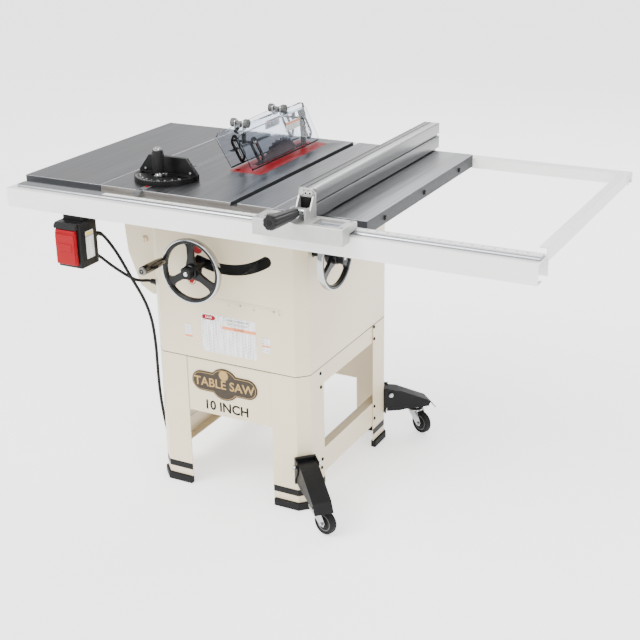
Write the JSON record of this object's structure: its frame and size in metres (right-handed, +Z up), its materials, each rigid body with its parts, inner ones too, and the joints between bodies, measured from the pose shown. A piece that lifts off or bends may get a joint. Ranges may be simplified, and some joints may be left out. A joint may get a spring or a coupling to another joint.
{
  "type": "table saw",
  "caption": "Open-stand table saw with cast-iron table, extension wings, rip fence, miter gauge, blade guard, two handwheels and a foot-operated lifting caster pair.",
  "frame": {"origin": "on the floor, at the middle of the saw's footprint measured without the power cord, its coil and its plug", "axes": "+Z up; +X to the operator's right along the rails; +Y away from the operator, along the blade and the miter slots"},
  "size_m": [1.448, 1.1073, 1.0415],
  "materials": {
    "aluminium": "satin anodised",
    "black_paint": "satin black",
    "black_plastic": "moulded",
    "black_rubber": "moulded",
    "blade_steel": "ground",
    "chrome": "polished",
    "clear_plastic": "clear sheet",
    "cream_paint": "satin cream powder coat",
    "dark_steel": "black painted or blued steel",
    "grey_casting": "as cast, painted grey",
    "ground_iron": "ground working faces",
    "red_plastic": "moulded",
    "white_paint": "satin white powder coat",
    "zinc": "zinc plated"
  },
  "bodies": {
    "saw": {"cabinet": "cream_paint", "stand_skirt": "cream_paint", "brace_left": "cream_paint", "brace_right": "cream_paint", "table": "ground_iron", "wing_left": "ground_iron", "wing_right": "ground_iron", "table_insert": "red_plastic", "front_rail": "white_paint", "scale_rail": "aluminium", "rear_rail": "white_paint", "end_bracket": "white_paint", "switch_box": "black_plastic", "cord_gland": "black_plastic", "trunnion": "grey_casting", "caster_bracket_front": "black_paint", "caster_bracket_rear": "black_paint", "power_cord": "black_rubber", "cord_coil": "black_rubber", "plug": "black_plastic", "motor_cord": "black_rubber", "leg_front_left": "cream_paint", "leg_front_right": "cream_paint", "leg_rear_left": "cream_paint", "leg_rear_right": "cream_paint", "foot_front_left": "black_rubber", "foot_front_right": "black_rubber", "foot_rear_left": "black_rubber", "foot_rear_right": "black_rubber"},
    "tilting_cradle": {"cradle": "grey_casting", "guard_spine": "dark_steel"},
    "left_shield": {"shield_left": "clear_plastic"},
    "right_shield": {"shield_right": "clear_plastic"},
    "height_handwheel": {"height_wheel": "black_paint"},
    "height_crank": {"height_handle": "chrome"},
    "height_lock": {"height_knob": "black_plastic"},
    "rising_carriage": {"carriage": "grey_casting", "motor": "dark_steel", "belt": "black_rubber"},
    "blade_arbor": {"arbor": "dark_steel", "blade": "blade_steel"},
    "motor_shaft": {"motor_pulley": "dark_steel"},
    "tilt_handwheel": {"tilt_wheel": "black_paint"},
    "tilt_crank": {"tilt_handle": "chrome"},
    "tilt_lock": {"tilt_knob": "black_plastic"},
    "rip_fence": {"fence_head": "aluminium", "fence_beam": "aluminium"},
    "fence_clamp": {"fence_lever": "black_plastic"},
    "miter_slider": {"miter_bar": "dark_steel"},
    "miter_gauge_head": {"miter_head": "black_paint"},
    "miter_clamp": {"miter_knob": "black_plastic"},
    "stop_paddle": {"switch_paddle": "red_plastic"},
    "side_cover": {"motor_cover": "cream_paint"},
    "front_pedal": {"caster_pedal_front": "black_paint"},
    "front_fork": {"caster_fork_front": "zinc"},
    "front_wheel": {"caster_wheel_front": "black_rubber"},
    "rear_pedal": {"caster_pedal_rear": "black_paint"},
    "rear_fork": {"caster_fork_rear": "zinc"},
    "rear_wheel": {"caster_wheel_rear": "black_rubber"}
  },
  "joints": [
    {"name": "cradle_tilt", "type": "hinge", "parent": "saw", "child": "tilting_cradle", "pos_m": [-0.179, 0.12426, 0.8985], "axis": [0, -1, 0], "range_deg": [0, 45]},
    {"name": "carriage_lift", "type": "slide", "parent": "tilting_cradle", "child": "rising_carriage", "axis": [0, 0, 1], "range_m": [-0.055, 0.03]},
    {"name": "blade_spin", "type": "hinge", "parent": "rising_carriage", "child": "blade_arbor", "pos_m": [-0.214, 0.18926, 0.8215], "axis": [-1, 0, 0], "continuous": true},
    {"name": "motor_spin", "type": "hinge", "parent": "rising_carriage", "child": "motor_shaft", "pos_m": [-0.214, 0.05426, 0.7185], "axis": [-1, 0, 0], "continuous": true},
    {"name": "height_wheel_spin", "type": "hinge", "parent": "tilting_cradle", "child": "height_handwheel", "pos_m": [-0.23902, -0.22574, 0.68061], "axis": [0, 1, 0], "range_deg": [-1980.1, 1080.1]},
    {"name": "height_crank_spin", "type": "hinge", "parent": "height_handwheel", "child": "height_crank", "pos_m": [-0.31822, -0.23354, 0.70184], "axis": [0, 1, 0], "continuous": true},
    {"name": "height_lock_spin", "type": "hinge", "parent": "height_handwheel", "child": "height_lock", "pos_m": [-0.23902, -0.23714, 0.68061], "axis": [0, 1, 0], "continuous": true},
    {"name": "left_shield_lift", "type": "slide", "parent": "tilting_cradle", "child": "left_shield", "axis": [0, -0.585, 0.811], "range_m": [0, 0.0655]},
    {"name": "right_shield_lift", "type": "slide", "parent": "tilting_cradle", "child": "right_shield", "axis": [0, -0.585, 0.811], "range_m": [0, 0.0654]},
    {"name": "tilt_wheel_spin", "type": "hinge", "parent": "saw", "child": "tilt_handwheel", "pos_m": [0.116, -0.09774, 0.733], "axis": [-1, 0, 0], "range_deg": [0, 3600.1]},
    {"name": "tilt_crank_spin", "type": "hinge", "parent": "tilt_handwheel", "child": "tilt_crank", "pos_m": [0.1238, -0.16055, 0.78571], "axis": [-1, 0, 0], "continuous": true},
    {"name": "tilt_lock_spin", "type": "hinge", "parent": "tilt_handwheel", "child": "tilt_lock", "pos_m": [0.1274, -0.09774, 0.733], "axis": [-1, 0, 0], "continuous": true},
    {"name": "fence_slide", "type": "slide", "parent": "saw", "child": "rip_fence", "axis": [1, 0, 0], "range_m": [-0.28, 0.42]},
    {"name": "fence_lever_lift", "type": "hinge", "parent": "rip_fence", "child": "fence_clamp", "pos_m": [0.154, -0.35074, 0.9255], "axis": [-1, 0, 0], "range_deg": [0, 60]},
    {"name": "miter_slide", "type": "slide", "parent": "saw", "child": "miter_slider", "axis": [0, -1, 0], "range_m": [-0.24, 0.24]},
    {"name": "miter_pivot", "type": "hinge", "parent": "miter_slider", "child": "miter_gauge_head", "pos_m": [-0.349, -0.15074, 0.8988], "axis": [0, 0, 1], "range_deg": [-60, 60]},
    {"name": "miter_knob_spin", "type": "hinge", "parent": "miter_slider", "child": "miter_clamp", "pos_m": [-0.349, -0.18574, 0.8988], "axis": [0, 0, 1], "continuous": true},
    {"name": "paddle_lift", "type": "hinge", "parent": "saw", "child": "stop_paddle", "pos_m": [-0.525, -0.36524, 0.79], "axis": [-1, 0, 0], "range_deg": [-2, 75]},
    {"name": "cover_open", "type": "hinge", "parent": "saw", "child": "side_cover", "pos_m": [-0.4283, 0.23026, 0], "axis": [0, 0, -1], "range_deg": [0, 88]},
    {"name": "front_pedal_lift", "type": "hinge", "parent": "saw", "child": "front_pedal", "pos_m": [0.05223, -0.15597, 0.145], "axis": [-0.7071, -0.7071, 0], "range_deg": [0, 20]},
    {"name": "front_caster_swivel", "type": "hinge", "parent": "front_pedal", "child": "front_fork", "pos_m": [0.1187, -0.22243, 0.08], "axis": [0, 0, 1], "continuous": true},
    {"name": "front_wheel_roll", "type": "hinge", "parent": "front_fork", "child": "front_wheel", "pos_m": [0.14628, -0.2314, 0.035], "axis": [0.309, 0.9511, 0], "continuous": true},
    {"name": "rear_pedal_lift", "type": "hinge", "parent": "saw", "child": "rear_pedal", "pos_m": [0.05223, 0.36749, 0.145], "axis": [0.7071, -0.7071, 0], "range_deg": [0, 20]},
    {"name": "rear_caster_swivel", "type": "hinge", "parent": "rear_pedal", "child": "rear_fork", "pos_m": [0.1187, 0.43396, 0.08], "axis": [0, 0, 1], "continuous": true},
    {"name": "rear_wheel_roll", "type": "hinge", "parent": "rear_fork", "child": "rear_wheel", "pos_m": [0.14498, 0.4217, 0.035], "axis": [0.4226, 0.9063, 0], "continuous": true}
  ],
  "couplings": [
    {"joint": "height_wheel_spin", "follows": "carriage_lift", "rad_per_m": 628.32},
    {"joint": "tilt_wheel_spin", "follows": "cradle_tilt", "ratio": 80},
    {"joint": "left_shield_lift", "follows": "cradle_tilt", "m_per_rad": 0.08327},
    {"joint": "motor_spin", "follows": "blade_spin", "ratio": 1}
  ]
}
